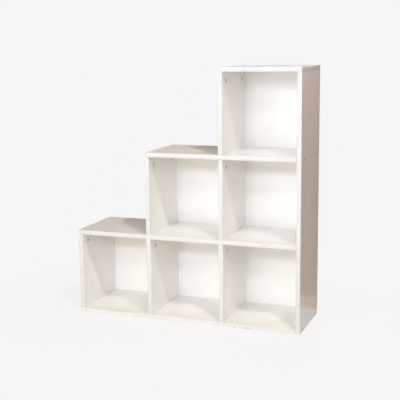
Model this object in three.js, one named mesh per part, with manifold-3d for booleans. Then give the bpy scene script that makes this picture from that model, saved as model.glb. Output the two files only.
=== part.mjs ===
// Staircase bookshelf: three columns of one, two and three open cubes, built from flat coated boards.
// Millimetres, +Z up. The open front faces -Y and the steps rise towards +X.
// The origin is on the floor, under the middle of the overall box.

import * as THREE from "three";
import { mergeVertices } from "three/addons/utils/BufferGeometryUtils.js";
import Module from "manifold-3d";

const wasm = await Module();
wasm.setup();

// The cabinet
const columns = 3;
const cubeWidth = 292; // clear width of each cube
const cubeHeight = 316; // clear height of each cube
const boardThickness = 18;
const boardDepth = 292;
const arrisRadius = 0.8; // rounding of the boards' long edges
const seam = 0.3; // air between two faces that are drawn together
const cutOverrun = 1; // how far a cutting shape runs past the face that it opens

// The backs
const backThickness = 3;
const backArris = 0.3;
const backInset = 3; // how far the backs stop short of the outer edges

// Places of the fasteners
const camInset = 48; // cam locks and side screws, from a board's front and rear edges
const footInset = 82; // foot screws, from a board's front and rear edges
const camDistance = 34; // from the underside of a board down to the cam's centre

// Cam lock
const camRadius = 7.2;
const camHeight = 13.4;
const camChamfer = 0.5;
const camGrip = 4.2; // radius of the rim's inner face where the bolt's head is locked
const camEntryRadius = 5.6; // the same radius where the head goes in
const camSweep = (5 * Math.PI) / 6; // angle that the cam turns from entry to lock
const recessLength = 8; // driver's cross in the cam's face
const recessWidth = 1.6;
const recessDepth = 2.2;

// Connector bolt
const boltThreadLength = 11;
const boltThreadRadius = 2.6;
const boltCollarRadius = 3.7;
const boltCollarLength = 2.4;
const boltShankRadius = 3;
const boltNeckRadius = 1.8;
const boltNeckLength = 5.2;
const boltHeadRadius = 3.3;
const boltHeadLength = 3;
const boltHeadChamfer = 0.7;
const edgeBoreRadius = 4; // bore for the bolt in a wall's upper end

// One-piece connector screw
const screwLength = 50;
const screwHeadRadius = 4.9;
const screwRimLength = 0.8;
const screwConeLength = 2.6;
const screwShankRadius = 3.4;
const screwShankLength = 11;
const screwCoreRadius = 2.6;
const screwTipLength = 3;
const screwTipRadius = 1;
const screwSink = 0.5; // how deep the head lies under the board's face
const socketAcrossCorners = 4.6;
const socketDepth = 2.6;

// Facets
const arrisSteps = 2;
const camSides = 16;
const boltSides = 8;
const screwSides = 10;
const socketSides = 6;
const spiralSteps = 4;

// Sizes that follow
const columnPitch = cubeWidth + boardThickness;
const levelPitch = cubeHeight + boardThickness;
const width = columns * columnPitch + boardThickness;
const depth = boardDepth + seam + backThickness;
const left = -width / 2;
const front = -depth / 2;
const camBoreRadius = camRadius + seam;
const camBoreDepth = camHeight + seam;
const screwConeEnd = -screwRimLength - screwConeLength;
const screwShankEnd = screwConeEnd - screwShankLength;
const camRows = [front + camInset, front + boardDepth - camInset];
const footRows = [front + footInset, front + boardDepth - footInset];
const rowNames = ["front", "rear"];

// Left face of an upright, counted from the left; the last one is the right side.
const wallX = (column) => left + column * columnPitch;

// Underside of a horizontal board, counted from the floor.
const boardZ = (level) => level * levelPitch;

const coatedBoard = new THREE.MeshStandardMaterial({ color: 0xf1efec, roughness: 0.38, metalness: 0 });
const coatedHardboard = new THREE.MeshStandardMaterial({ color: 0xf3f1ee, roughness: 0.5, metalness: 0 });
const castZinc = new THREE.MeshStandardMaterial({ color: 0x9c9a94, roughness: 0.42, metalness: 0.9 });
const platedSteel = new THREE.MeshStandardMaterial({ color: 0xb3b0a6, roughness: 0.3, metalness: 1 });

const X = new THREE.Vector3(1, 0, 0);
const Y = new THREE.Vector3(0, 1, 0);
const Z = new THREE.Vector3(0, 0, 1);

const shelf = new THREE.Group();

// A closed geometry as a solid: shared corners are merged and collapsed facets are dropped.
function solidOf(geometry) {
  const bare = new THREE.BufferGeometry();
  bare.setAttribute("position", geometry.getAttribute("position"));
  bare.setIndex(geometry.index);
  const merged = mergeVertices(bare);
  const corners = merged.index.array;
  const kept = [];
  for (let i = 0; i < corners.length; i += 3) {
    const [a, b, c] = corners.slice(i, i + 3);
    if (a !== b && b !== c && c !== a) kept.push(a, b, c);
  }
  return new wasm.Manifold(
    new wasm.Mesh({
      numProp: 3,
      vertProperties: merged.getAttribute("position").array,
      triVerts: new Uint32Array(kept),
    }),
  );
}

function geometryOf(solid) {
  const mesh = solid.getMesh();
  const geometry = new THREE.BufferGeometry();
  geometry.setAttribute("position", new THREE.BufferAttribute(mesh.vertProperties, mesh.numProp));
  geometry.setIndex(new THREE.BufferAttribute(mesh.triVerts, 1));
  return geometry;
}

function cut(solid, cutters) {
  return cutters.reduce((rest, cutter) => rest.subtract(cutter), solid);
}

function add(name, geometry, material) {
  const mesh = new THREE.Mesh(geometry, material);
  mesh.name = name;
  shelf.add(mesh);
  return mesh;
}

// A turned shape stood at a point, with its own +Y turned to the given direction.
function stand(profile, sides, at, direction) {
  const turned = new THREE.LatheGeometry(profile, sides);
  turned.applyQuaternion(new THREE.Quaternion().setFromUnitVectors(Y, direction));
  return turned.translate(at.x, at.y, at.z);
}

// A flat board between two corners, its long edges rounded. It is drawn across its thinnest direction.
function board(low, high, arris) {
  const size = high.clone().sub(low);
  const thin = size.toArray().indexOf(Math.min(size.x, size.y, size.z));
  const axes = [[Y, Z, X], [Z, X, Y], [X, Y, Z]][thin];
  const [across, along, through] = axes.map((axis) => size.dot(axis));
  const outline = new THREE.Shape();
  outline.moveTo(arris, arris);
  outline.lineTo(across - arris, arris);
  outline.lineTo(across - arris, along - arris);
  outline.lineTo(arris, along - arris);
  outline.closePath();
  const drawn = new THREE.ExtrudeGeometry(outline, {
    depth: through - 2 * arris,
    bevelThickness: arris,
    bevelSize: arris,
    bevelSegments: arrisSteps,
  });
  drawn.translate(0, 0, arris);
  drawn.applyMatrix4(new THREE.Matrix4().makeBasis(...axes));
  return solidOf(drawn.translate(low.x, low.y, low.z));
}

// A round bar between two points, used as a bore.
function rod(from, to, radius, sides) {
  const along = to.clone().sub(from);
  const length = along.length();
  const bar = new THREE.CylinderGeometry(radius, radius, length, sides);
  bar.translate(0, length / 2, 0);
  bar.applyQuaternion(new THREE.Quaternion().setFromUnitVectors(Y, along.normalize()));
  return solidOf(bar.translate(from.x, from.y, from.z));
}

// Connector bolt: its thread goes up into the board at height 0, its head hangs below in the cam.
function boltProfile() {
  const shoulder = -(camDistance - camGrip) - seam;
  const end = shoulder - boltHeadLength;
  return [
    [0, end],
    [boltHeadRadius - boltHeadChamfer, end],
    [boltHeadRadius, end + boltHeadChamfer],
    [boltHeadRadius, shoulder],
    [boltNeckRadius, shoulder],
    [boltNeckRadius, shoulder + boltNeckLength],
    [boltShankRadius, shoulder + boltNeckLength],
    [boltShankRadius, -seam - boltCollarLength],
    [boltCollarRadius, -seam - boltCollarLength],
    [boltCollarRadius, -seam],
    [boltThreadRadius, -seam],
    [boltThreadRadius, boltThreadLength],
    [0, boltThreadLength],
  ].map(([radius, height]) => new THREE.Vector2(radius, height));
}

// One-piece connector screw: its head's face is at height 0 and its tip points down.
function screwProfile() {
  return [
    [0, -screwLength],
    [screwTipRadius, -screwLength],
    [screwCoreRadius, screwTipLength - screwLength],
    [screwCoreRadius, screwShankEnd],
    [screwShankRadius, screwShankEnd],
    [screwShankRadius, screwConeEnd],
    [screwHeadRadius, -screwRimLength],
    [screwHeadRadius, 0],
    [0, 0],
  ].map(([radius, height]) => new THREE.Vector2(radius, height));
}

// Its bore: a step drill's core, shank and countersink, with the countersink run out past the face.
function screwBoreProfile() {
  const core = screwCoreRadius + seam;
  const shank = screwShankRadius + seam;
  const runOut = screwSink + cutOverrun;
  const slope = (screwHeadRadius - screwShankRadius) / screwConeLength;
  const mouth = shank + slope * (runOut - screwConeEnd);
  return [
    [0, -screwLength - seam],
    [core, -screwLength - seam],
    [core, screwShankEnd - seam],
    [shank, screwShankEnd - seam],
    [shank, screwConeEnd],
    [mouth, runOut],
    [0, runOut],
  ].map(([radius, height]) => new THREE.Vector2(radius, height));
}

// Radius of the inner face of the cam's rim: it closes in on the bolt as the cam turns to its lock.
function rimRadius(turn) {
  return camGrip + ((camEntryRadius - camGrip) * turn) / camSweep;
}

// A crescent that follows the rim from lock to entry, between two offsets from the rim's inner face.
function crescent(inward, outward, height) {
  const outline = new THREE.Shape();
  const turns = Array.from({ length: spiralSteps + 1 }, (_, i) => (camSweep * i) / spiralSteps);
  const place = (turn, radius) => new THREE.Vector2(-radius * Math.sin(turn), radius * Math.cos(turn));
  const outer = turns.map((turn) => place(turn, rimRadius(turn) + outward));
  const inner = turns.map((turn) => place(turn, rimRadius(turn) - inward));
  outline.setFromPoints([...outer, ...inner.reverse()]);
  const drawn = new THREE.ExtrudeGeometry(outline, { depth: height, bevelEnabled: false });
  return solidOf(drawn.translate(0, 0, -height / 2));
}

// Cam lock, its face up at height 0 and the bolt coming in along +Y at half the board's thickness.
// A head wide enough for the bolt enters at the end of the sweep; the narrow slot then rides on its neck.
function camSolid() {
  const profile = [
    [0, -camHeight],
    [camRadius, -camHeight],
    [camRadius, -camChamfer],
    [camRadius - camChamfer, 0],
    [0, 0],
  ].map(([radius, height]) => new THREE.Vector2(radius, height));
  const body = solidOf(stand(profile, camSides, new THREE.Vector3(), Z));

  const boltHeight = -boardThickness / 2;
  const headSpace = boltHeadRadius + seam;
  const neckSpace = boltNeckRadius + seam;
  const headDepth = boltHeadLength + 2 * seam;
  const outside = camRadius + cutOverrun;
  const lock = (radius) => new THREE.Vector3(0, radius, 0);
  const entry = (radius) => new THREE.Vector3(-radius * Math.sin(camSweep), radius * Math.cos(camSweep), 0);
  const headRoom = crescent(headDepth, 0, 2 * headSpace)
    .add(rod(lock(camGrip - headDepth), lock(camGrip), headSpace, boltSides))
    .add(rod(entry(camEntryRadius - headDepth), entry(outside), headSpace, boltSides));
  const neckRoom = crescent(seam, outside - camGrip, 2 * neckSpace)
    .add(rod(lock(camGrip - seam), lock(outside), neckSpace, boltSides));
  const rooms = headRoom.add(neckRoom).translate([0, 0, boltHeight]);

  const crossDepth = recessDepth + cutOverrun;
  const arm = (long, wide) => {
    const box = new THREE.BoxGeometry(long, wide, crossDepth);
    return solidOf(box.translate(0, 0, crossDepth / 2 - recessDepth));
  };
  return cut(body, [rooms, arm(recessLength, recessWidth), arm(recessWidth, recessLength)]);
}

function screwSolid() {
  const body = solidOf(new THREE.LatheGeometry(screwProfile(), screwSides));
  const socketTop = new THREE.Vector3(0, cutOverrun, 0);
  const socketFloor = new THREE.Vector3(0, -socketDepth, 0);
  return body.subtract(rod(socketFloor, socketTop, socketAcrossCorners / 2, socketSides));
}

const camGeometry = geometryOf(camSolid());
const screwGeometry = geometryOf(screwSolid());
const boltGeometry = geometryOf(solidOf(new THREE.LatheGeometry(boltProfile(), boltSides)));

// A screw sunk into the face at the given point, and the bore that it is driven through.
function driveScrew(name, face, direction) {
  const head = face.clone().addScaledVector(direction, screwSink);
  const outward = direction.clone().negate();
  const screw = add(name, screwGeometry, platedSteel);
  screw.quaternion.setFromUnitVectors(Y, outward);
  screw.position.copy(head);
  return solidOf(stand(screwBoreProfile(), screwSides, head, outward));
}

// The pair of cams and bolts that draws an upright against the board above it. The cams open on the side
// that the sign names. It gives back the bores of the upright and those of the board.
function camJoint(upright, faceSign, wallLeft, boardUnderside) {
  const faceX = faceSign > 0 ? wallLeft + boardThickness : wallLeft;
  const middleX = wallLeft + boardThickness / 2;
  const camZ = boardUnderside - camDistance;
  const uprightBores = [];
  const boardBores = [];
  camRows.forEach((y, i) => {
    const outward = X.clone().multiplyScalar(faceSign);
    const sideways = Y.clone().multiplyScalar(faceSign);
    const face = new THREE.Vector3(faceX, y, camZ);
    const bolted = new THREE.Vector3(middleX, y, boardUnderside);

    const cam = add(`cam_${upright}_${rowNames[i]}`, camGeometry, castZinc);
    cam.setRotationFromMatrix(new THREE.Matrix4().makeBasis(sideways, Z, outward));
    cam.position.copy(face).addScaledVector(outward, -seam / 2);
    const bolt = add(`bolt_${upright}_${rowNames[i]}`, boltGeometry, platedSteel);
    bolt.quaternion.setFromUnitVectors(Y, Z);
    bolt.position.copy(bolted);

    const camMouth = face.clone().addScaledVector(outward, cutOverrun);
    const camFloor = face.clone().addScaledVector(outward, -camBoreDepth);
    const camCentre = bolted.clone().addScaledVector(Z, -camDistance);
    const boreTop = bolted.clone().addScaledVector(Z, cutOverrun);
    const threadEnd = bolted.clone().addScaledVector(Z, boltThreadLength + seam);
    const threadMouth = bolted.clone().addScaledVector(Z, -cutOverrun);
    uprightBores.push(rod(camMouth, camFloor, camBoreRadius, camSides));
    uprightBores.push(rod(camCentre, boreTop, edgeBoreRadius, boltSides));
    boardBores.push(rod(threadMouth, threadEnd, boltThreadRadius + seam, boltSides));
  });
  return { uprightBores, boardBores };
}

// The two screws driven up through a board into the foot of the wall on it.
function footJoint(upright, wallLeft, boardUnderside) {
  return footRows.map((y, i) => {
    const face = new THREE.Vector3(wallLeft + boardThickness / 2, y, boardUnderside);
    return driveScrew(`foot_screw_${upright}_${rowNames[i]}`, face, Z);
  });
}

// The two screws driven through the right side into the end of a board.
function sideJoint(level) {
  const inward = X.clone().negate();
  return camRows.map((y, i) => {
    const face = new THREE.Vector3(wallX(columns) + boardThickness, y, boardZ(level) + boardThickness / 2);
    return driveScrew(`side_screw_level_${level}_${rowNames[i]}`, face, inward);
  });
}

function wallName(column, level) {
  return column === 0 ? "left_side" : `wall_${column + 1}_level_${level + 1}`;
}

function boardName(level) {
  if (level === 0) return "bottom_board";
  return level === columns ? "top_board" : `step_board_${level}`;
}

// Bores are gathered by board, because most fasteners pass from one board into another.
const bores = new Map();

function bore(name, cutters) {
  bores.set(name, [...(bores.get(name) ?? []), ...cutters]);
}

// Uprights stand on one board and carry the next; a column has one more of them than the one before.
function joinWalls() {
  for (let column = 0; column < columns; column += 1) {
    for (let level = 0; level <= column; level += 1) {
      const name = wallName(column, level);
      const { uprightBores, boardBores } = camJoint(name, 1, wallX(column), boardZ(level + 1));
      const footBores = footJoint(name, wallX(column), boardZ(level));
      bore(name, [...uprightBores, ...footBores]);
      bore(boardName(level), footBores);
      bore(boardName(level + 1), boardBores);
    }
  }
}

function joinRightSide() {
  const { uprightBores, boardBores } = camJoint("right_side", -1, wallX(columns), boardZ(columns));
  bore("right_side", uprightBores);
  bore("top_board", boardBores);
  for (let level = 0; level < columns; level += 1) {
    const sideBores = sideJoint(level);
    bore("right_side", sideBores);
    bore(boardName(level), sideBores);
  }
}

function addBoard(name, low, high) {
  add(name, geometryOf(cut(board(low, high, arrisRadius), bores.get(name) ?? [])), coatedBoard);
}

function addWalls() {
  for (let column = 0; column < columns; column += 1) {
    for (let level = 0; level <= column; level += 1) {
      const low = new THREE.Vector3(wallX(column), front, boardZ(level) + boardThickness + seam);
      const top = boardZ(level + 1) - seam;
      const high = new THREE.Vector3(wallX(column) + boardThickness, front + boardDepth, top);
      addBoard(wallName(column, level), low, high);
    }
  }
}

function addRightSide() {
  const low = new THREE.Vector3(wallX(columns), front, 0);
  const high = new THREE.Vector3(wallX(columns) + boardThickness, front + boardDepth, boardZ(columns) - seam);
  addBoard("right_side", low, high);
}

// Every board starts over the wall that it lies on. All but the top one end at the right side.
function addLevels() {
  for (let level = 0; level <= columns; level += 1) {
    const start = wallX(Math.max(level - 1, 0));
    const end = level === columns ? wallX(columns) + boardThickness : wallX(columns) - seam;
    const low = new THREE.Vector3(start, front, boardZ(level));
    const high = new THREE.Vector3(end, front + boardDepth, boardZ(level) + boardThickness);
    addBoard(boardName(level), low, high);
  }
}

// One back for each column, meeting its neighbours on the middle of the walls.
function addBacks() {
  for (let column = 0; column < columns; column += 1) {
    const middle = (upright) => wallX(upright) + boardThickness / 2;
    const start = column === 0 ? left + backInset : middle(column) + seam / 2;
    const last = column === columns - 1;
    const end = last ? wallX(columns) + boardThickness - backInset : middle(column + 1) - seam / 2;
    const rear = front + boardDepth + seam;
    const top = boardZ(column + 1) + boardThickness - backInset;
    const low = new THREE.Vector3(start, rear, backInset);
    const high = new THREE.Vector3(end, rear + backThickness, top);
    add(`back_panel_${column + 1}`, geometryOf(board(low, high, backArris)), coatedHardboard);
  }
}

joinWalls();
joinRightSide();
addLevels();
addWalls();
addRightSide();
addBacks();

export default shelf;
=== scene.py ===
# Staircase bookshelf: the finish of every board, back and fastener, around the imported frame.
# Metres, +Z up. The open front faces -Y and the steps rise towards +X.

import math

import bmesh
import bpy
from mathutils import Matrix, Vector


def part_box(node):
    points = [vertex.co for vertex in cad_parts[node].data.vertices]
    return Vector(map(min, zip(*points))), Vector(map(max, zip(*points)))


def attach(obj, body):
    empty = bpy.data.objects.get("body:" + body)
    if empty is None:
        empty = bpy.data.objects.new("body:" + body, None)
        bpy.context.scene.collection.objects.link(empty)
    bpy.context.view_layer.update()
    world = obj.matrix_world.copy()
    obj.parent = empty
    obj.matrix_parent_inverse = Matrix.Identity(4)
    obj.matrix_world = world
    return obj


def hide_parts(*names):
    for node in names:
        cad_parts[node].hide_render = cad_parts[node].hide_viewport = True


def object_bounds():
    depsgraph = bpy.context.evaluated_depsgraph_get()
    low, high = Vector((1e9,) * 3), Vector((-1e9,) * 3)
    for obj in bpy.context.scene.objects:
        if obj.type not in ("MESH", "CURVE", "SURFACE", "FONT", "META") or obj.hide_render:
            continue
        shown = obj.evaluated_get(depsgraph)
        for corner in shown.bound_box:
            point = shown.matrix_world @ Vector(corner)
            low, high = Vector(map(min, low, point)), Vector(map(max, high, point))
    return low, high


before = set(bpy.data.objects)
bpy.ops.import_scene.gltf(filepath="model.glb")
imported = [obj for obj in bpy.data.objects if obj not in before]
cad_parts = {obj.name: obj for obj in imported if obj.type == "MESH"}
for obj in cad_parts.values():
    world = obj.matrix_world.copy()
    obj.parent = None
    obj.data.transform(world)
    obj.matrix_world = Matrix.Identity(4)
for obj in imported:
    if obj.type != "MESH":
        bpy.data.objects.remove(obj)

cad_low, cad_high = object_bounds()

MM = 0.001

# Boards
COVER = 1.0 * MM  # thickness of the band or foil on a board's covered edges
ARRIS = 0.8 * MM  # rounding of the covered edges
CUT_ARRIS = 0.3 * MM  # what the saw leaves on the other edges
BORE_SIDES = 40

# Fasteners are modelled in millimetres, and scaled when they are put in their places
TO_METRES = Matrix.Scale(MM, 4)
ROOM = 0.3  # room round a fastener in its bore
RUN_OUT = 1.0  # how far a bore's cutting shape runs past the face
OVERLAP = 0.1  # how far shapes that meet run into each other
THREAD_ROOT = 0.5  # how far a plain end runs into its thread
THREAD_SHARES = (0.3, 0.55, 0.65, 0.9)  # where a thread starts to rise, has its crest and is down again

# Cam lock, its face up at height 0 and the bolt coming in along +Y
CAM_SIDES = 64
CAM_RADIUS = 7.2
CAM_HEIGHT = 13.4
CAM_RIM = 0.5
CAM_DISH = 0.35  # how deep the face lies inside its rim
CAM_GRIP = 4.2  # radius of the rim's inner face where the bolt's head is locked
CAM_ENTRY = 5.6  # the same radius where the head goes in
CAM_SWEEP = math.radians(150)
CAM_TURNS = 14
BOLT_HEIGHT = 9.0  # from the cam's face down to the bolt's axis
CROSS_LENGTH = 7.6
CROSS_WIDTH = 1.5
CROSS_DEPTH = 2.2
CROSS_FLOOR_SHARE = 0.6
ARROW_RADIUS = 1.1
ARROW_DEPTH = 0.3
ARROW_FLARE = 0.2
ARROW_PLACE_SHARE = 0.66

# Connector bolt, the board's underside at height 0 and its head below
BOLT_SIDES = 32
BOLT_THREAD_LENGTH = 11.0
BOLT_THREAD_RADIUS = 2.6
BOLT_CORE_RADIUS = 1.9
BOLT_PITCH = 1.8
BOLT_SHANK_RADIUS = 3.0
BOLT_SHANK_TAPER = 0.6
BOLT_COLLAR_RADIUS = 3.7
BOLT_COLLAR_LENGTH = 2.4
BOLT_NECK_RADIUS = 1.8
BOLT_NECK_LENGTH = 5.2
BOLT_SHOULDER = -30.1
BOLT_HEAD_RADIUS = 3.3
BOLT_HEAD_LENGTH = 3.0
BOLT_HEAD_CHAMFER = 0.7
BOLT_BORE_RADIUS = 4.0

# One-piece connector screw, its head's face at height 0 and its tip below
SCREW_SIDES = 32
SCREW_LENGTH = 50.0
SCREW_HEAD_RADIUS = 4.9
SCREW_HEAD_CHAMFER = 0.2
SCREW_RIM = 0.8
SCREW_CONE_END = 3.4
SCREW_SHANK_RADIUS = 3.4
SCREW_SHANK_END = 14.4
SCREW_CREST_RADIUS = 2.6
SCREW_CORE_RADIUS = 1.9
SCREW_PITCH = 3.0
SCREW_TIP = 4.0
SCREW_TIP_RADIUS = 0.4
SCREW_SINK = 0.5
SOCKET_SIDES = 6
SOCKET_RADIUS = 2.3
SOCKET_DEPTH = 2.6
SOCKET_CHAMFER = 0.2
SOCKET_POINT = 0.8  # the drill's point below the socket's floor
SOCKET_POINT_RADIUS = 0.2

# Nails that hold the backs
NAIL_SIDES = 12
NAIL_HEAD_RADIUS = 1.5
NAIL_HEAD_LENGTH = 0.7
NAIL_CONE_END = 0.45  # where the cone under the head reaches its full radius
NAIL_EDGE_END = 0.1
NAIL_CROWN = 0.3
NAIL_RADIUS = 0.65
NAIL_LENGTH = 18.0
NAIL_POINT = 2.0
NAIL_POINT_RADIUS = 0.15
NAIL_SINK = 0.1
NAIL_EDGE = 5 * MM  # from the back's edge to the nails
NAIL_SPACING = 110 * MM
DENT_SIDES = 16
DENT_RADIUS = 2.0
DENT_FLOOR_RADIUS = 1.1
DENT_DEPTH = 0.6
DENT_FLARE = 0.6


def deselect():
    bpy.ops.object.select_all(action="DESELECT")


def activate(piece):
    deselect()
    piece.select_set(True)
    bpy.context.view_layer.objects.active = piece


def open_mesh(piece, mode="FACE"):
    """Edit mode, with the whole mesh selected."""
    activate(piece)
    bpy.ops.object.mode_set(mode="EDIT")
    bpy.ops.mesh.select_mode(type=mode)
    bpy.ops.mesh.select_all(action="SELECT")


def close_mesh():
    bpy.ops.object.mode_set(mode="OBJECT")


def select_parts(piece, kind, test):
    """Selects the mesh's faces or edges that pass a test, and nothing else."""
    mesh = bmesh.from_edit_mesh(piece.data)
    for part in getattr(mesh, kind):
        part.select_set(test(part))
    mesh.select_flush_mode()
    bmesh.update_edit_mesh(piece.data)


def rename(piece, name):
    piece.name = name
    piece.data.name = name
    return piece


def apply_place(piece):
    activate(piece)
    bpy.ops.object.transform_apply(location=True, rotation=True, scale=True)
    return piece


def apply_modifier(piece, step):
    activate(piece)
    bpy.ops.object.modifier_apply(modifier=step.name)


def face_outwards():
    bpy.ops.mesh.select_all(action="SELECT")
    bpy.ops.mesh.normals_make_consistent(inside=False)


def smooth(piece, degrees):
    """Smooth shading, but for the edges that turn by more than an angle."""
    activate(piece)
    bpy.ops.object.shade_smooth_by_angle(angle=math.radians(degrees))


def sharp(edge):
    return len(edge.link_faces) == 2 and edge.calc_face_angle() > math.radians(60)


def round_edges(piece, test, radius, segments):
    open_mesh(piece, "EDGE")
    select_parts(piece, "edges", test)
    bpy.ops.mesh.bevel(offset=radius, segments=segments, affect="EDGES")
    close_mesh()


def choose_finishes(piece, choice):
    """Gives every face the number of its finish."""
    mesh = bmesh.new()
    mesh.from_mesh(piece.data)
    for face in mesh.faces:
        face.material_index = choice(face)
    mesh.to_mesh(piece.data)
    mesh.free()


def carve(piece, cutters, operation="DIFFERENCE"):
    """Cuts the cutters out of a piece, or joins them to it. Their finish goes along on the new faces."""
    group = bpy.data.collections.new("cutters")
    for cutter in cutters:
        group.objects.link(cutter)
    step = piece.modifiers.new(operation.lower(), "BOOLEAN")
    step.operation = operation
    step.solver = "EXACT"
    step.material_mode = "TRANSFER"
    step.operand_type = "COLLECTION"
    step.collection = group
    apply_modifier(piece, step)
    bpy.data.collections.remove(group)


def remove(pieces):
    for piece in pieces:
        bpy.data.objects.remove(piece)


def joined(pieces, name):
    deselect()
    for piece in pieces:
        piece.select_set(True)
    bpy.context.view_layer.objects.active = pieces[0]
    bpy.ops.object.join()
    return rename(pieces[0], name)


def copy_to(source, name, place):
    """A copy of a piece modelled in millimetres, with its own mesh, put at its place in metres."""
    twin = source.copy()
    twin.data = source.data.copy()
    bpy.context.scene.collection.objects.link(twin)
    twin.matrix_world = place @ TO_METRES
    return apply_place(rename(twin, name))


def finish_piece(piece, slot, *nodes):
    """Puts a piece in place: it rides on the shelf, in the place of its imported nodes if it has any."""
    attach(piece, "root")
    if nodes:
        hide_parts(*nodes)


def block(node, name, finishes):
    """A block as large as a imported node, at the node's place."""
    low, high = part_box(node)
    bpy.ops.mesh.primitive_cube_add(size=1, location=(low + high) / 2)
    piece = rename(bpy.context.object, name)
    piece.scale = high - low
    for finish in finishes:
        piece.data.materials.append(finish)
    return apply_place(piece)


def turned(name, sides, steps, material):
    """A turned piece round +Z: a disc drawn out and narrowed or widened through (radius, height) steps."""
    radius, height = steps[0]
    bpy.ops.mesh.primitive_circle_add(vertices=sides, radius=radius, fill_type="NGON")
    piece = rename(bpy.context.object, name)
    piece.data.materials.append(material)
    open_mesh(piece)
    bpy.ops.transform.translate(value=(0, 0, height))
    for next_radius, next_height in steps[1:]:
        rise = {"value": (0, 0, next_height - height)}
        bpy.ops.mesh.extrude_region_move(TRANSFORM_OT_translate=rise)
        share = next_radius / radius
        bpy.ops.transform.resize(value=(share, share, 1), center_override=(0, 0, next_height))
        radius, height = next_radius, next_height
    face_outwards()
    close_mesh()
    return piece


def drawn_line(name, points):
    """An open line through points, drawn from a single corner."""
    bpy.ops.mesh.primitive_plane_add(size=1)
    piece = rename(bpy.context.object, name)
    open_mesh(piece, "VERT")
    bpy.ops.mesh.merge(type="CENTER")
    bpy.ops.transform.translate(value=points[0])
    for start, end in zip(points, points[1:]):
        step = {"value": Vector(end) - Vector(start)}
        bpy.ops.mesh.extrude_vertices_move(TRANSFORM_OT_translate=step)
    close_mesh()
    return piece


def threaded_rod(name, core, crest, pitch, low, high, sides, material):
    """A thread on its core between two heights. It is wound a turn longer at each end and cut square."""
    rise, crest_start, crest_end, fall = THREAD_SHARES
    profile = [(core, 0), (core, rise), (crest, crest_start), (crest, crest_end), (core, fall), (core, 1)]
    points = [(radius, 0, low - pitch + share * pitch) for radius, share in profile]
    rod = drawn_line(name, points)
    rod.data.materials.append(material)
    wind = rod.modifiers.new("wind", "SCREW")
    wind.axis = "Z"
    wind.steps = wind.render_steps = sides
    wind.screw_offset = pitch
    wind.iterations = math.ceil((high - low) / pitch) + 2
    wind.use_merge_vertices = True
    apply_modifier(rod, wind)
    for height, up in ((low, -1), (high, 1)):
        open_mesh(rod, "VERT")
        bpy.ops.mesh.bisect(
            plane_co=(0, 0, height), plane_no=(0, 0, up), use_fill=True, clear_outer=True
        )
        close_mesh()
    open_mesh(rod)
    bpy.ops.mesh.remove_doubles(threshold=0.001)
    face_outwards()
    close_mesh()
    return rod


# Finishes. What several of them share is a node group.

def new_node(tree, kind, **settings):
    made = tree.nodes.new(kind)
    for name, value in settings.items():
        setattr(made, name, value)
    return made


def plug(tree, value, socket):
    """Links a socket's value in, or writes a plain one."""
    if isinstance(value, bpy.types.NodeSocket):
        tree.links.new(value, socket)
    else:
        socket.default_value = value


def feed(tree, made, **inputs):
    """Gives a node's inputs their values or links. An input's name is written with _ for its spaces."""
    for name, value in inputs.items():
        plug(tree, value, made.inputs[name.replace("_", " ")])
    return made


def math_node(tree, operation, *values, clamp=False):
    made = new_node(tree, "ShaderNodeMath", operation=operation, use_clamp=clamp)
    for place, value in enumerate(values):
        plug(tree, value, made.inputs[place])
    return made.outputs[0]


def vector_node(tree, operation, *values):
    made = new_node(tree, "ShaderNodeVectorMath", operation=operation)
    for place, value in enumerate(values):
        plug(tree, value, made.inputs[place])
    return made.outputs["Value" if operation == "LENGTH" else "Vector"]


def parts_of(tree, vector):
    """A vector's three parts."""
    made = feed(tree, new_node(tree, "ShaderNodeSeparateXYZ"), Vector=vector)
    return made.outputs[0], made.outputs[1], made.outputs[2]


def between(tree, value, low, high, to_low=0.0, to_high=1.0):
    """A value's range spread smoothly over another range."""
    made = new_node(tree, "ShaderNodeMapRange", interpolation_type="SMOOTHSTEP")
    feed(tree, made, Value=value, From_Min=low, From_Max=high, To_Min=to_low, To_Max=to_high)
    return made.outputs["Result"]


def blended(tree, mask, under, over):
    """Colour over laid on colour under by a mask."""
    made = new_node(tree, "ShaderNodeMix", data_type="RGBA")
    for place, value in ((0, mask), (6, under), (7, over)):
        plug(tree, value, made.inputs[place])
    return made.outputs[2]


def noise(tree, vector, scale, detail=2.0, roughness=0.5, distortion=0.0):
    made = new_node(tree, "ShaderNodeTexNoise")
    feed(
        tree, made, Vector=vector, Scale=scale, Detail=detail, Roughness=roughness, Distortion=distortion
    )
    return made.outputs["Fac"]


def stretched(tree, vector, scale, turn=(0, 0, 0)):
    made = new_node(tree, "ShaderNodeMapping")
    feed(tree, made, Vector=vector, Scale=scale, Rotation=turn)
    return made.outputs["Vector"]


def new_group(name, inputs, output):
    """A shader node group with its named inputs, each with a starting value, and its one output."""
    tree = bpy.data.node_groups.new(name, "ShaderNodeTree")
    for label, kind, value in inputs:
        socket = tree.interface.new_socket(label, in_out="INPUT", socket_type=f"NodeSocket{kind}")
        if value is not None:
            socket.default_value = value
    tree.interface.new_socket(output, in_out="OUTPUT", socket_type="NodeSocketFloat")
    given = new_node(tree, "NodeGroupInput").outputs
    return tree, given, new_node(tree, "NodeGroupOutput").inputs[output]


def fine_grain():
    """The pebbled skin of a pressed or moulded surface: a broad swell with finer grain on it."""
    tree, given, result = new_group(
        "fine_grain",
        [("Vector", "Vector", None), ("Pebble", "Float", 700.0), ("Swell", "Float", 60.0)],
        "Height",
    )
    pebble = noise(tree, given["Vector"], given["Pebble"], detail=3.0, roughness=0.55)
    swell = noise(tree, given["Vector"], given["Swell"], detail=1.0)
    small = math_node(tree, "MULTIPLY", pebble, 0.35)
    tree.links.new(math_node(tree, "ADD", swell, small), result)
    return tree


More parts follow.
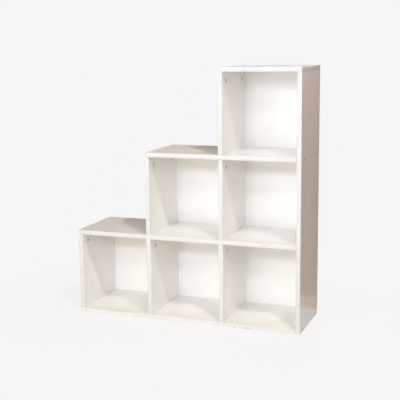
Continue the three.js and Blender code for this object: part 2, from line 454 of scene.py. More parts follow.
def mottle():
    """Slow unevenness of tone and gloss."""
    tree, given, result = new_group(
        "mottle",
        [("Vector", "Vector", None), ("Scale", "Float", 5.0), ("Contrast", "Float", 1.0)],
        "Mask",
    )
    clouds = noise(tree, given["Vector"], given["Scale"], detail=4.0, roughness=0.55, distortion=0.4)
    centred = math_node(tree, "SUBTRACT", clouds, 0.5)
    spread = math_node(tree, "MULTIPLY", centred, given["Contrast"])
    tree.links.new(math_node(tree, "ADD", spread, 0.5, clamp=True), result)
    return tree


def edge_wear():
    """Where the rounded edges are rubbed: faces that look along no axis, broken up by noise."""
    tree, given, result = new_group(
        "edge_wear",
        [("Vector", "Vector", None), ("Scale", "Float", 40.0), ("Amount", "Float", 0.5)],
        "Mask",
    )
    normal = new_node(tree, "ShaderNodeNewGeometry").outputs["True Normal"]
    across, along, up = parts_of(tree, vector_node(tree, "ABSOLUTE", normal))
    largest = math_node(tree, "MAXIMUM", math_node(tree, "MAXIMUM", across, along), up)
    rounded = between(tree, largest, 0.97, 0.995, 1.0, 0.0)
    patches = noise(tree, given["Vector"], given["Scale"], detail=4.0, roughness=0.65)
    worn = math_node(tree, "MULTIPLY", rounded, between(tree, patches, 0.45, 0.62))
    tree.links.new(math_node(tree, "MULTIPLY", worn, given["Amount"]), result)
    return tree


def settled_dust_and_shade():
    """Dust on what faces up, thicker in patches, which also stands for painted shade on the upward faces.
    """
    tree, given, result = new_group(
        "settled_dust_and_shade",
        [("Vector", "Vector", None), ("Scale", "Float", 9.0), ("Amount", "Float", 0.3)],
        "Mask",
    )
    normal = new_node(tree, "ShaderNodeNewGeometry").outputs["True Normal"]
    _, _, up = parts_of(tree, normal)
    clouds = noise(tree, given["Vector"], given["Scale"], detail=5.0, roughness=0.6)
    grains = noise(tree, given["Vector"], 900.0, detail=1.0)
    specks = math_node(tree, "MULTIPLY", between(tree, grains, 0.6, 0.72), 0.6)
    both = math_node(tree, "ADD", between(tree, clouds, 0.3, 0.75), specks, clamp=True)
    laid = math_node(tree, "MULTIPLY", between(tree, up, 0.6, 0.95), both)
    tree.links.new(math_node(tree, "MULTIPLY", laid, given["Amount"]), result)
    return tree


def scuffs():
    """Faint rubs and hairline scratches, which show in the gloss more than in the colour."""
    tree, given, result = new_group(
        "scuffs",
        [("Vector", "Vector", None), ("Scale", "Float", 8.0), ("Amount", "Float", 0.5)],
        "Mask",
    )
    lines = None
    for turn in (0.3, 1.9):
        drawn_out = stretched(tree, given["Vector"], (1.0, 14.0, 14.0), (turn, 0.5 * turn, turn))
        hair = noise(tree, drawn_out, given["Scale"], distortion=0.2)
        off = math_node(tree, "ABSOLUTE", math_node(tree, "SUBTRACT", hair, 0.5))
        line = between(tree, off, 0.0, 0.012, 1.0, 0.0)
        lines = line if lines is None else math_node(tree, "MAXIMUM", lines, line)
    where = between(tree, noise(tree, given["Vector"], 5.0, detail=3.0), 0.52, 0.68)
    kept = math_node(tree, "MULTIPLY", lines, where)
    tree.links.new(math_node(tree, "MULTIPLY", kept, given["Amount"]), result)
    return tree


def spot():
    """A ragged mark round a place on a surface."""
    tree, given, result = new_group(
        "spot",
        [
            ("Vector", "Vector", None),
            ("Place", "Vector", None),
            ("Reach", "Vector", (2 * MM, 2 * MM, 2 * MM)),
            ("Softness", "Float", 0.3),
        ],
        "Mask",
    )
    away = vector_node(tree, "SUBTRACT", given["Vector"], given["Place"])
    away = vector_node(tree, "LENGTH", vector_node(tree, "DIVIDE", away, given["Reach"]))
    ragged = math_node(tree, "MULTIPLY", noise(tree, given["Vector"], 900.0, detail=3.0), 0.9)
    rim = 1.45
    inner = math_node(tree, "SUBTRACT", rim, given["Softness"])
    mark = between(tree, math_node(tree, "ADD", away, ragged), inner, rim, 1.0, 0.0)
    tree.links.new(mark, result)
    return tree


def floor_shadow():
    """How much of the lit floor shows: some beside the shelf, where its shadow falls, and none far off."""
    tree, given, result = new_group(
        "floor_shadow",
        [("Vector", "Vector", None), ("Share", "Float", 0.2), ("Reach", "Float", 0.7)],
        "Mask",
    )
    beyond = new_node(tree, "ShaderNodeCombineXYZ")
    for axis, part in enumerate(parts_of(tree, given["Vector"])[:2]):
        past = math_node(tree, "SUBTRACT", math_node(tree, "ABSOLUTE", part), cad_high[axis])
        tree.links.new(math_node(tree, "MAXIMUM", past, 0.0), beyond.inputs[axis])
    away = vector_node(tree, "LENGTH", beyond.outputs[0])
    tree.links.new(between(tree, away, 0.0, given["Reach"], given["Share"], 0.0), result)
    return tree


SHARED = (fine_grain(), mottle(), edge_wear(), settled_dust_and_shade(), scuffs(), spot(), floor_shadow())
GROUPS = {group.name: group for group in SHARED}


class Finish:
    """A material with one Principled shader, and the means to build on it."""

    def __init__(self, name):
        self.material = bpy.data.materials.new(name)
        self.material.use_nodes = True
        self.tree = self.material.node_tree
        self.shader = self.tree.nodes["Principled BSDF"]
        self.place = new_node(self.tree, "ShaderNodeTexCoord").outputs["Object"]

    def shared(self, name, **inputs):
        made = new_node(self.tree, "ShaderNodeGroup", node_tree=GROUPS[name])
        feed(self.tree, made, Vector=self.place, **inputs)
        return made.outputs[0]

    def set(self, **inputs):
        feed(self.tree, self.shader, **inputs)

    def bump(self, height, distance):
        made = new_node(self.tree, "ShaderNodeBump")
        feed(self.tree, made, Height=height, Distance=distance, Strength=1.0)
        self.tree.links.new(made.outputs["Normal"], self.shader.inputs["Normal"])


# Colours. The edge band is written darker than the foil, because the front edges get the most light.
FOIL_COOL = (0.93, 0.918, 0.897, 1)
FOIL_WARM = (0.935, 0.913, 0.883, 1)
BAND_SHADED_COOL = (0.69, 0.692, 0.70, 1)
BAND_SHADED_WARM = (0.677, 0.676, 0.68, 1)
LACQUER_COOL = (0.922, 0.917, 0.903, 1)
LACQUER_WARM = (0.927, 0.914, 0.895, 1)
RUBBED = (0.62, 0.585, 0.53, 1)
BROWN_RUB = (0.66, 0.52, 0.40, 1)
# the dust's tone, which also serves as painted shade on upward faces
DUST_AND_SHADE = (0.60, 0.57, 0.53, 1)
CHIPPED = (0.35, 0.30, 0.24, 1)
FLAKE_DARK = (0.22, 0.14, 0.08, 1)
FLAKE_MIDDLE = (0.42, 0.30, 0.18, 1)
FLAKE_PALE = (0.52, 0.40, 0.26, 1)
FLAKE_GAP = (0.12, 0.08, 0.05, 1)
HARDBOARD_DARK = (0.27, 0.175, 0.105, 1)
HARDBOARD_WARM = (0.34, 0.23, 0.145, 1)
HARDBOARD_FIBRE = (0.46, 0.34, 0.23, 1)

# Marks that the shelf has, each with its place and reach: chips in the bottom board's edge band, a rub
# on the middle back and a scratch on the upper step board
CHIPS = (
    ((210.4 * MM, -147.6 * MM, 6.6 * MM), (2.2 * MM, 1.6 * MM, 3.2 * MM)),
    ((259.0 * MM, -147.6 * MM, 4.6 * MM), (2.2 * MM, 1.6 * MM, 2.2 * MM)),
    ((272.4 * MM, -147.6 * MM, 4.4 * MM), (2.0 * MM, 1.6 * MM, 2.6 * MM)),
)
BACK_RUB = ((-2 * MM, 144.6 * MM, 79 * MM), (13 * MM, 3 * MM, 7 * MM))
SHELF_SCRATCH = ((419 * MM, -52 * MM, 686 * MM), (9 * MM, 1.6 * MM, 2 * MM))


def white_foil():
    """The pressed foil on the boards' faces: satin and faintly pebbled, with rubs and a little dust, which
    also darkens the upward faces a little as painted shade.
    """
    finish = Finish("white_foil")
    tree = finish.tree
    tone = finish.shared("mottle", Scale=3.5, Contrast=1.6)
    colour = blended(tree, tone, FOIL_COOL, FOIL_WARM)
    place, reach = SHELF_SCRATCH
    scratch = finish.shared("spot", Place=place, Reach=reach, Softness=0.6)
    colour = blended(tree, math_node(tree, "MULTIPLY", scratch, 0.35), colour, RUBBED)
    colour = blended(tree, finish.shared("edge_wear", Scale=30.0, Amount=0.15), colour, RUBBED)
    # dust on the upward faces, partly painted shade that darkens them
    dust_and_shade = finish.shared("settled_dust_and_shade", Amount=0.06)
    colour = blended(tree, dust_and_shade, colour, DUST_AND_SHADE)
    rubs = finish.shared("scuffs", Amount=0.1)
    gloss = between(tree, finish.shared("mottle", Scale=4.0), 0.2, 0.8, 0.20, 0.25)
    duller = math_node(tree, "ADD", rubs, math_node(tree, "MULTIPLY", dust_and_shade, 0.15))
    finish.set(Base_Color=colour, Roughness=math_node(tree, "ADD", gloss, duller, clamp=True))
    finish.bump(finish.shared("fine_grain", Pebble=650.0, Swell=45.0), 0.05 * MM)
    return finish.material


def edge_band():
    """The plastic band on the boards' front edges, with fine lines along it from the scraper."""
    finish = Finish("edge_band")
    tree = finish.tree
    tone = finish.shared("mottle", Scale=6.0, Contrast=1.4)
    # the band's tones are written darker than its real white, as painted shade, since the front edges get
    # the most light
    colour = blended(tree, tone, BAND_SHADED_COOL, BAND_SHADED_WARM)
    colour = blended(tree, finish.shared("edge_wear", Scale=55.0, Amount=0.2), colour, RUBBED)
    depth = None
    for place, reach in CHIPS:
        chip = finish.shared("spot", Place=place, Reach=reach)
        depth = chip if depth is None else math_node(tree, "MAXIMUM", depth, chip)
    colour = blended(tree, depth, colour, CHIPPED)
    gloss = between(tree, finish.shared("mottle", Scale=12.0), 0.2, 0.8, 0.44, 0.52)
    finish.set(Base_Color=colour, Roughness=math_node(tree, "ADD", gloss, depth, clamp=True))
    lines = noise(tree, stretched(tree, finish.place, (9.0, 900.0, 900.0)), 1.0)
    finish.bump(math_node(tree, "SUBTRACT", math_node(tree, "MULTIPLY", lines, 0.05), depth), 0.3 * MM)
    return finish.material


def raw_board():
    """Pressed chips, as on a sawn edge or in a bore: pale and dark flakes with gaps among them."""
    finish = Finish("raw_board")
    tree = finish.tree
    clouds = noise(tree, finish.place, 220.0)
    push = 2 * MM
    bent = vector_node(tree, "MULTIPLY", clouds, (push, push, push))
    bent = vector_node(tree, "ADD", finish.place, bent)
    flakes = new_node(tree, "ShaderNodeTexVoronoi", feature="F1")
    feed(tree, flakes, Vector=stretched(tree, bent, (500.0, 500.0, 900.0)), Scale=1.0)
    parts = new_node(tree, "ShaderNodeSeparateColor")
    feed(tree, parts, Color=flakes.outputs["Color"])
    ramp = new_node(tree, "ShaderNodeValToRGB")
    feed(tree, ramp, Fac=parts.outputs[0])
    stops = ramp.color_ramp.elements
    stops[0].color = FLAKE_DARK
    stops[1].color = FLAKE_PALE
    stops.new(0.35).color = FLAKE_MIDDLE
    gap = between(tree, flakes.outputs["Distance"], 0.45, 0.9)
    colour = blended(tree, gap, ramp.outputs["Color"], FLAKE_GAP)
    finish.set(Base_Color=colour, Roughness=between(tree, clouds, 0.3, 0.7, 0.75, 0.95))
    finish.bump(math_node(tree, "SUBTRACT", parts.outputs[1], gap), 0.25 * MM)
    return finish.material


def lacquered_hardboard():
    """The painted face of the backs: matt white over a faint fibre."""
    finish = Finish("lacquered_hardboard")
    tree = finish.tree
    tone = finish.shared("mottle", Scale=4.0, Contrast=1.5)
    colour = blended(tree, tone, LACQUER_COOL, LACQUER_WARM)
    place, reach = BACK_RUB
    rub = finish.shared("spot", Place=place, Reach=reach, Softness=0.9)
    colour = blended(tree, math_node(tree, "MULTIPLY", rub, 0.12), colour, BROWN_RUB)
    gloss = between(tree, finish.shared("mottle", Scale=14.0), 0.2, 0.8, 0.42, 0.55)
    rubs = finish.shared("scuffs", Scale=6.0, Amount=0.15)
    finish.set(Base_Color=colour, Roughness=math_node(tree, "ADD", gloss, rubs, clamp=True))
    finish.bump(finish.shared("fine_grain", Pebble=1100.0, Swell=80.0), 0.04 * MM)
    return finish.material


def raw_hardboard():
    """The brown rear of the backs and their cut edges, with the print of the press's wire mesh."""
    finish = Finish("raw_hardboard")
    tree = finish.tree
    across, _, up = parts_of(tree, finish.place)
    wire_pitch = 1.4 * MM
    waves = [
        math_node(tree, "SINE", math_node(tree, "MULTIPLY", part, 2 * math.pi / wire_pitch))
        for part in (across, up)
    ]
    weave = math_node(tree, "MULTIPLY", *waves)
    drawn_out = stretched(tree, finish.place, (260.0, 260.0, 60.0))
    fibre = noise(tree, drawn_out, 1.0, detail=5.0, roughness=0.7)
    tone = finish.shared("mottle", Scale=7.0, Contrast=1.5)
    colour = blended(tree, tone, HARDBOARD_DARK, HARDBOARD_WARM)
    pale = math_node(tree, "MULTIPLY", between(tree, fibre, 0.45, 0.75), 0.5)
    colour = blended(tree, pale, colour, HARDBOARD_FIBRE)
    finish.set(Base_Color=colour, Roughness=between(tree, fibre, 0.3, 0.7, 0.78, 0.92))
    finish.bump(math_node(tree, "ADD", math_node(tree, "MULTIPLY", weave, 0.3), fibre), 0.12 * MM)
    return finish.material


def metal(name, dark, bright, grain, shine, matt, relief):
    """A metal with clouded tone and gloss and a fine grain."""
    finish = Finish(name)
    tree = finish.tree
    colour = blended(tree, finish.shared("mottle", Scale=grain, Contrast=1.8), dark, bright)
    streaks = noise(tree, finish.place, 6.0 * grain, detail=3.0, roughness=0.6)
    gloss = between(tree, streaks, 0.25, 0.75, shine, matt)
    finish.set(Base_Color=colour, Metallic=1.0, Roughness=gloss)
    finish.bump(finish.shared("fine_grain", Pebble=4000.0, Swell=700.0), relief)
    return finish.material


foil = white_foil()
band = edge_band()
core = raw_board()
lacquer = lacquered_hardboard()
brown = raw_hardboard()
zinc = metal("cast_zinc", (0.40, 0.40, 0.39, 1), (0.56, 0.56, 0.55, 1), 300.0, 0.38, 0.55, 0.03 * MM)
steel = metal("plated_steel", (0.50, 0.49, 0.46, 1), (0.66, 0.65, 0.62, 1), 250.0, 0.22, 0.36, 0.01 * MM)


# Fasteners, each modelled once

def crescent(name, inward, outward, height):
    """A room that follows the cam's rim from lock to entry, drawn out step by step as the rim opens."""
    bpy.ops.mesh.primitive_plane_add(size=1, rotation=(0, math.pi / 2, 0))
    piece = rename(bpy.context.object, name)
    piece.data.materials.append(zinc)
    piece.scale = (height, inward + outward, 1)
    apply_place(piece)
    open_mesh(piece)
    bpy.ops.transform.translate(value=(0, CAM_GRIP + (outward - inward) / 2, -BOLT_HEIGHT))
    turn = CAM_SWEEP / CAM_TURNS
    growth = (CAM_ENTRY - CAM_GRIP) / CAM_TURNS
    for step in range(1, CAM_TURNS + 1):
        bpy.ops.mesh.extrude_region_move()
        bpy.ops.transform.rotate(value=-turn, orient_axis="Z", center_override=(0, 0, -BOLT_HEIGHT))
        angle = step * turn
        bpy.ops.transform.translate(value=(-math.sin(angle) * growth, math.cos(angle) * growth, 0))
    face_outwards()
    close_mesh()
    return piece


def spoke(name, angle, start, end, radius):
    """A round room across the cam at the bolt's height, from one distance off its axis to another."""
    room = turned(name, BOLT_SIDES, [(radius, start), (radius, end)], zinc)
    place = Matrix.Translation((0, 0, -BOLT_HEIGHT)) @ Matrix.Rotation(angle, 4, "Z")
    room.matrix_world = place @ Matrix.Rotation(-math.pi / 2, 4, "X")
    return apply_place(room)


def driver_cross():
    """The cross that the driver goes into, narrower at its floor."""
    arms = []
    for angle in (0, math.pi / 2):
        bpy.ops.mesh.primitive_cube_add(size=1, rotation=(0, 0, angle))
        arm = rename(bpy.context.object, "cross_arm")
        arm.data.materials.append(zinc)
        arm.scale = (CROSS_LENGTH, CROSS_WIDTH, 2 * CROSS_DEPTH)
        apply_place(arm)
        open_mesh(arm)
        select_parts(arm, "faces", lambda face: face.normal.z < -0.9)
        narrower = (CROSS_FLOOR_SHARE, CROSS_FLOOR_SHARE, 1)
        bpy.ops.transform.resize(value=narrower, center_override=(0, 0, -CROSS_DEPTH))
        close_mesh()
        arms.append(arm)
    return arms


def opening_arrow():
    """The arrow in the cam's face that shows where the bolt's head goes in."""
    steps = [(ARROW_RADIUS, -CAM_DISH - ARROW_DEPTH), (ARROW_RADIUS + ARROW_FLARE, RUN_OUT)]
    arrow = turned("arrow", 3, steps, zinc)
    out = Matrix.Translation((0, ARROW_PLACE_SHARE * CAM_RADIUS, 0))
    arrow.matrix_world = Matrix.Rotation(CAM_SWEEP, 4, "Z") @ out
    return apply_place(arrow)


def model_cam():
    """The cam: a dished face with its driver's cross, and the crescent that grips the bolt's head."""
    face_edge = CAM_RADIUS - 3 * CAM_RIM
    cam = turned(
        "cam_model",
        CAM_SIDES,
        [
            (CAM_RADIUS - CAM_RIM, -CAM_HEIGHT),
            (CAM_RADIUS, -CAM_HEIGHT + CAM_RIM),
            (CAM_RADIUS, -CAM_RIM),
            (CAM_RADIUS - CAM_RIM, 0),
            (face_edge, 0),
            (face_edge - CAM_DISH, -CAM_DISH),
        ],
        zinc,
    )
    head_space = BOLT_HEAD_RADIUS + ROOM
    neck_space = BOLT_NECK_RADIUS + ROOM
    head_depth = BOLT_HEAD_LENGTH + 2 * ROOM
    outside = CAM_RADIUS + RUN_OUT
    lock_start = CAM_GRIP - head_depth - OVERLAP
    entry_start = CAM_ENTRY - head_depth - OVERLAP
    neck_start = CAM_GRIP - ROOM - OVERLAP / 2
    flatter = 0.97  # keeps the crescents' flat sides inside the round rooms at their ends
    cuts = [
        crescent("head_room", head_depth, 0, 2 * head_space * flatter),
        crescent("neck_room", ROOM, outside - CAM_GRIP, 2 * neck_space * flatter),
        spoke("lock_room", 0, lock_start, CAM_GRIP + OVERLAP, head_space),
        spoke("entry_room", CAM_SWEEP, entry_start, outside + OVERLAP, head_space),
        spoke("neck_way", 0, neck_start, outside + 2 * OVERLAP, neck_space),
        opening_arrow(),
    ]
    cuts += driver_cross()
    carve(cam, cuts)
    remove(cuts)
    return cam


def model_bolt():
    """The connector bolt: head, neck, shank and collar, and a coarse thread above."""
    end = BOLT_SHOULDER - BOLT_HEAD_LENGTH
    neck_end = BOLT_SHOULDER + BOLT_NECK_LENGTH
    inner = BOLT_CORE_RADIUS - OVERLAP
    bolt = turned(
        "bolt_model",
        BOLT_SIDES,
        [
            (BOLT_HEAD_RADIUS - BOLT_HEAD_CHAMFER, end),
            (BOLT_HEAD_RADIUS, end + BOLT_HEAD_CHAMFER),
            (BOLT_HEAD_RADIUS, BOLT_SHOULDER),
            (BOLT_NECK_RADIUS, BOLT_SHOULDER),
            (BOLT_NECK_RADIUS, neck_end),
            (BOLT_SHANK_RADIUS, neck_end + BOLT_SHANK_TAPER),
            (BOLT_SHANK_RADIUS, -ROOM - BOLT_COLLAR_LENGTH),
            (BOLT_COLLAR_RADIUS, -ROOM - BOLT_COLLAR_LENGTH),
            (BOLT_COLLAR_RADIUS, -ROOM),
            (inner, -ROOM),
            (inner, THREAD_ROOT),
        ],
        steel,
    )
    thread = threaded_rod(
        "bolt_thread", BOLT_CORE_RADIUS, BOLT_THREAD_RADIUS, BOLT_PITCH,
        -ROOM / 2, BOLT_THREAD_LENGTH, BOLT_SIDES, steel,
    )
    carve(bolt, [thread], "UNION")
    remove([thread])
    return bolt


def model_screw():
    """The one-piece connector screw: a sunk head with a hex socket, a plain shank and a deep thread."""
    tip_start = SCREW_TIP - SCREW_LENGTH
    inner = SCREW_CORE_RADIUS - OVERLAP
    screw = turned(
        "screw_model",
        SCREW_SIDES,
        [
            (inner, -SCREW_SHANK_END - 2 * THREAD_ROOT),
            (inner, -SCREW_SHANK_END),
            (SCREW_SHANK_RADIUS, -SCREW_SHANK_END),
            (SCREW_SHANK_RADIUS, -SCREW_CONE_END),
            (SCREW_HEAD_RADIUS, -SCREW_RIM),
            (SCREW_HEAD_RADIUS, -SCREW_HEAD_CHAMFER),
            (SCREW_HEAD_RADIUS - SCREW_HEAD_CHAMFER, 0),
        ],
        steel,
    )
    thread = threaded_rod(
        "screw_thread", SCREW_CORE_RADIUS, SCREW_CREST_RADIUS, SCREW_PITCH,
        tip_start, -SCREW_SHANK_END - THREAD_ROOT, SCREW_SIDES, steel,
    )
    tip = turned(
        "screw_tip",
        SCREW_SIDES,
        [(SCREW_TIP_RADIUS, -SCREW_LENGTH), (inner, tip_start), (inner, tip_start + THREAD_ROOT)],
        steel,
    )
    socket = turned(
        "socket",
        SOCKET_SIDES,
        [
            (SOCKET_POINT_RADIUS, -SOCKET_DEPTH - SOCKET_POINT),
            (SOCKET_RADIUS, -SOCKET_DEPTH),
            (SOCKET_RADIUS, -SOCKET_CHAMFER),
            (SOCKET_RADIUS + SOCKET_CHAMFER + RUN_OUT, RUN_OUT),
        ],
        steel,
    )
    carve(screw, [thread, tip], "UNION")
    carve(screw, [socket])
    remove([thread, tip, socket])
    return screw


def model_nail():
    return turned(
        "nail_model",
        NAIL_SIDES,
        [
            (NAIL_POINT_RADIUS, -NAIL_LENGTH),
            (NAIL_RADIUS, NAIL_POINT - NAIL_LENGTH),
            (NAIL_RADIUS, -NAIL_HEAD_LENGTH),
            (NAIL_HEAD_RADIUS, -NAIL_CONE_END),
            (NAIL_HEAD_RADIUS, -NAIL_EDGE_END),
            (NAIL_HEAD_RADIUS - NAIL_CROWN, 0),
        ],
        steel,
    )


def model_dent():
    """What a nail's head leaves in the back when it is driven in."""
    return turned(
        "dent_model",
        DENT_SIDES,
        [(DENT_FLOOR_RADIUS, -DENT_DEPTH), (DENT_RADIUS, 0), (DENT_RADIUS + DENT_FLARE, RUN_OUT)],
        brown,
    )


# Where the fasteners sit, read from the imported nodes

def aimed(at, direction):
    """A place whose own +Z points along a direction."""
    turn = Vector(direction).to_track_quat("Z", "Y").to_matrix().to_4x4()
    return Matrix.Translation(at) @ turn


def box_of(node):
    """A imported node's lowest corner, highest corner and middle."""
    low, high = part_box(node)
    return low, high, (low + high) / 2


def cam_place(node):
    """A cam's face looks into the cube, and its own +Y points up at the bolt."""
    low, high, middle = box_of(node)
    out = -1 if "right_side" in node else 1
    face = Vector((high.x if out > 0 else low.x, middle.y, middle.z))
    axes = Matrix(((0, 0, out), (out, 0, 0), (0, 1, 0))).to_4x4()
    return Matrix.Translation(face) @ axes


def bolt_place(node):
    """A bolt points up, with its thread in the board above."""
    _, high, middle = box_of(node)
    return aimed((middle.x, middle.y, high.z - BOLT_THREAD_LENGTH * MM), (0, 0, 1))


def screw_place(node):
    """A side screw's head looks right, and a foot screw's looks down."""
    low, high, middle = box_of(node)
    if node.startswith("side_screw"):
        return aimed((high.x, middle.y, middle.z), (1, 0, 0))
    return aimed((middle.x, middle.y, low.z), (0, 0, -1))


def nodes_called(start):
    return sorted(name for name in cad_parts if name.startswith(start))


def add_fasteners():
    kinds = (
        ("cam_", model_cam, cam_place, "cam_zinc"),
        ("bolt_", model_bolt, bolt_place, "bolt_steel"),
        ("foot_screw_", model_screw, screw_place, "screw_steel"),
        ("side_screw_", model_screw, screw_place, "screw_steel"),
    )
    for start, model, place, slot in kinds:
        source = model()
        smooth(source, 35)
        for node in nodes_called(start):
            twin = copy_to(source, f"{node}_detail", place(node))
            finish_piece(twin, slot, node)
        remove([source])


# Bores, each a cutting shape with the raw board as its finish

def model_screw_bore():
    """A stepped bore whose countersink runs on past the face at the slope of the screw's head."""
    slope = (SCREW_HEAD_RADIUS - SCREW_SHANK_RADIUS) / (SCREW_CONE_END - SCREW_RIM)
    shank = SCREW_SHANK_RADIUS + ROOM
    mouth = shank + slope * (SCREW_CONE_END + SCREW_SINK + RUN_OUT)
    return turned(
        "screw_bore",
        BORE_SIDES,
        [
            (SCREW_CREST_RADIUS + ROOM, -SCREW_LENGTH - ROOM),
            (SCREW_CREST_RADIUS + ROOM, -SCREW_SHANK_END - ROOM),
            (shank, -SCREW_SHANK_END - ROOM),
            (shank, -SCREW_CONE_END),
            (mouth, SCREW_SINK + RUN_OUT),
        ],
        core,
    )


def straight_bore(name, radius, start, end):
    return turned(name, BORE_SIDES, [(radius, start), (radius, end)], core)


def bores():
    bolt_end = BOLT_SHOULDER - BOLT_HEAD_LENGTH - ROOM
    cam_bore = straight_bore("cam_bore", CAM_RADIUS + ROOM, -CAM_HEIGHT - ROOM, RUN_OUT)
    bolt_bore = straight_bore("bolt_bore", BOLT_BORE_RADIUS, bolt_end, RUN_OUT)
    thread_bore = straight_bore(
        "thread_bore", BOLT_THREAD_RADIUS + ROOM, -RUN_OUT, BOLT_THREAD_LENGTH + ROOM
    )
    screw_bore = model_screw_bore()
    made = []
    for node in nodes_called("cam_"):
        made.append(copy_to(cam_bore, f"bore_{node}", cam_place(node)))
    for node in nodes_called("bolt_"):
        made.append(copy_to(bolt_bore, f"bore_{node}", bolt_place(node)))
        made.append(copy_to(thread_bore, f"bore_thread_{node}", bolt_place(node)))
    for node in nodes_called("foot_screw_") + nodes_called("side_screw_"):
        made.append(copy_to(screw_bore, f"bore_{node}", screw_place(node)))
    remove([cam_bore, bolt_bore, thread_bore, screw_bore])
    return made


def touches(cutter, low, high):
    """True if a cutting shape reaches into a board, and more than just past its face."""
    least = 1.01 * RUN_OUT * MM
    corners = [cutter.matrix_world @ Vector(c) for c in cutter.bound_box]
    for axis in range(3):
        values = [c[axis] for c in corners]
        if max(values) < low[axis] + least or min(values) > high[axis] - least:
            return False
    return True


# Boards and backs

BOARD_FINISHES = (foil, band, core)
FOIL, BANDED, RAW = range(3)
FRONT, LEFT, RIGHT = (1, -1), (0, -1), (0, 1)  # the edges that can be covered, each an axis and a sign


def finish_of(face, low, high, covered):
    """A face's finish: plastic band in front, foil over the covered ends, raw board on other edges."""
    size = high - low
    thin = min(range(3), key=lambda axis: size[axis])
    centre = face.calc_center_median()
    for axis in range(3):
        if axis == thin:
            continue
        for end, sign in ((low[axis], -1), (high[axis], 1)):
            deep = sign * (end - centre[axis])
            if deep < COVER and (axis, sign) in covered:
                return BANDED if (axis, sign) == FRONT else FOIL
            if deep < 0.5 * CUT_ARRIS:
                return RAW
    return FOIL


def add_board(node, covered, cutters):
    """A board cut to size: its covered edges are marked off and rounded, and its bores drilled."""
    low, high, _ = box_of(node)
    piece = block(node, f"{node}_board", BOARD_FINISHES)
    for axis, sign in covered:
        normal = Vector((0, 0, 0))
        normal[axis] = 1
        edge = high if sign > 0 else low
        open_mesh(piece)
        bpy.ops.mesh.bisect(plane_co=edge - sign * COVER * normal, plane_no=normal)
        close_mesh()

    def on_cover(edge):
        middle = (edge.verts[0].co + edge.verts[1].co) / 2
        ends = [(axis, high[axis] if sign > 0 else low[axis]) for axis, sign in covered]
        return sharp(edge) and any(abs(middle[axis] - end) < 0.1 * COVER for axis, end in ends)

    round_edges(piece, on_cover, ARRIS, 3)
    round_edges(piece, sharp, CUT_ARRIS, 1)
    choose_finishes(piece, lambda face: finish_of(face, low, high, covered))
    carve(piece, [c for c in cutters if touches(c, low, high)])
    smooth(piece, 20)
    finish_piece(piece, "coated_board", node)


def add_boards():
    cutters = bores()
    covered = {
        "bottom_board": (FRONT, LEFT),
        "step_board_1": (FRONT, LEFT),
        "step_board_2": (FRONT, LEFT),
        "top_board": (FRONT, LEFT, RIGHT),
        "left_side": (FRONT,),
        "right_side": (FRONT,),
    }
    for node in list(covered) + nodes_called("wall_"):
        add_board(node, covered.get(node, (FRONT,)), cutters)
    remove(cutters)


def spaced(start, end):
    """Even places from start to end, about a nail's spacing apart."""
    count = max(1, round((end - start) / NAIL_SPACING))
    return [start + (end - start) * i / count for i in range(count + 1)]


def nail_places(node):
    """Round the back's edge, and along every board that it covers."""
    low, high, _ = box_of(node)
    left, right = low.x + NAIL_EDGE, high.x - NAIL_EDGE
    boards = [box_of(board)[2].z for board in nodes_called("step_board_") + ["top_board"]]
    rows = {low.z + NAIL_EDGE, high.z - NAIL_EDGE}
    rows |= {height for height in boards if height < high.z - 3 * NAIL_EDGE}
    places = {(x, z) for z in rows for x in spaced(left, right)}
    ordered = sorted(rows)
    for below, above in zip(ordered, ordered[1:]):
        for z in spaced(below, above)[1:-1]:
            places |= {(left, z), (right, z)}
    return [Vector((x, high.y, z)) for x, z in sorted(places)]


def add_back(node, nail, dent):
    """A back: a sheet, white in front, with a dent round every nail and its nails as one piece."""
    low, _, _ = box_of(node)
    piece = block(node, f"{node}_sheet", (lacquer, brown))
    round_edges(piece, sharp, CUT_ARRIS, 2)
    front = low.y + 0.5 * CUT_ARRIS
    choose_finishes(piece, lambda face: 0 if face.calc_center_median().y < front else 1)
    places = [aimed(at, (0, 1, 0)) for at in nail_places(node)]
    dents = joined([copy_to(dent, "dent", place) for place in places], "dents")
    carve(piece, [dents])
    remove([dents])
    smooth(piece, 20)
    finish_piece(piece, "hardboard", node)
    sink = Matrix.Translation((0, -NAIL_SINK * MM, 0))
    nails = joined([copy_to(nail, "nail", sink @ place) for place in places], f"{node}_nails")
    smooth(nails, 35)
    finish_piece(nails, "screw_steel")


def add_backs():
    nail = model_nail()
    dent = model_dent()
    for node in nodes_called("back_panel_"):
        add_back(node, nail, dent)
    remove([nail, dent])


# The camera, the floor and the light

CAMERA_AT = (1.2202, -3.14, 1.0896)
CAMERA_YAW = math.radians(21.015)
CAMERA_PITCH = math.radians(10.299)
CAMERA_ROLL = math.radians(-0.709)
SENSOR_WIDTH = 36
LENS = 75.095

WHITE = (1, 1, 1, 1)
BACKDROP = (0.9216, 0.9216, 0.9216, 1)
FLOOR_SIZE = 30
FLOOR_DARK = (0.79, 0.74, 0.68, 1)
FLOOR_PALE = (0.81, 0.76, 0.70, 1)
SHADOW_SHARE = 0.2  # how much of the lit floor shows beside the shelf, the rest being white
SHADOW_REACH = 0.7

# The card's tones are painted light and shade of a wall: lit on its left, in painted shadow low on its
# right part and paler higher up, with a pale foot. What the shelf reflects of it is a painted reflection.
CARD_WIDTH = 2.4
CARD_HEIGHT = 1.02
CARD_AT = 0.19
CARD_FOOT = 0.055  # height of the card's paler foot, like a skirting board
CARD_SHADE = (0.5, 1.1)  # heights between which the card's right part turns paler
CARD_LIT_LEFT = (0.70, 0.60, 0.51, 1)
CARD_SHADOW_LOW = (0.34, 0.18, 0.11, 1)
CARD_LIT_HIGH = (0.64, 0.42, 0.40, 1)
CARD_FOOT_PAINTED_REFLECTION = (0.75, 0.58, 0.40, 1)


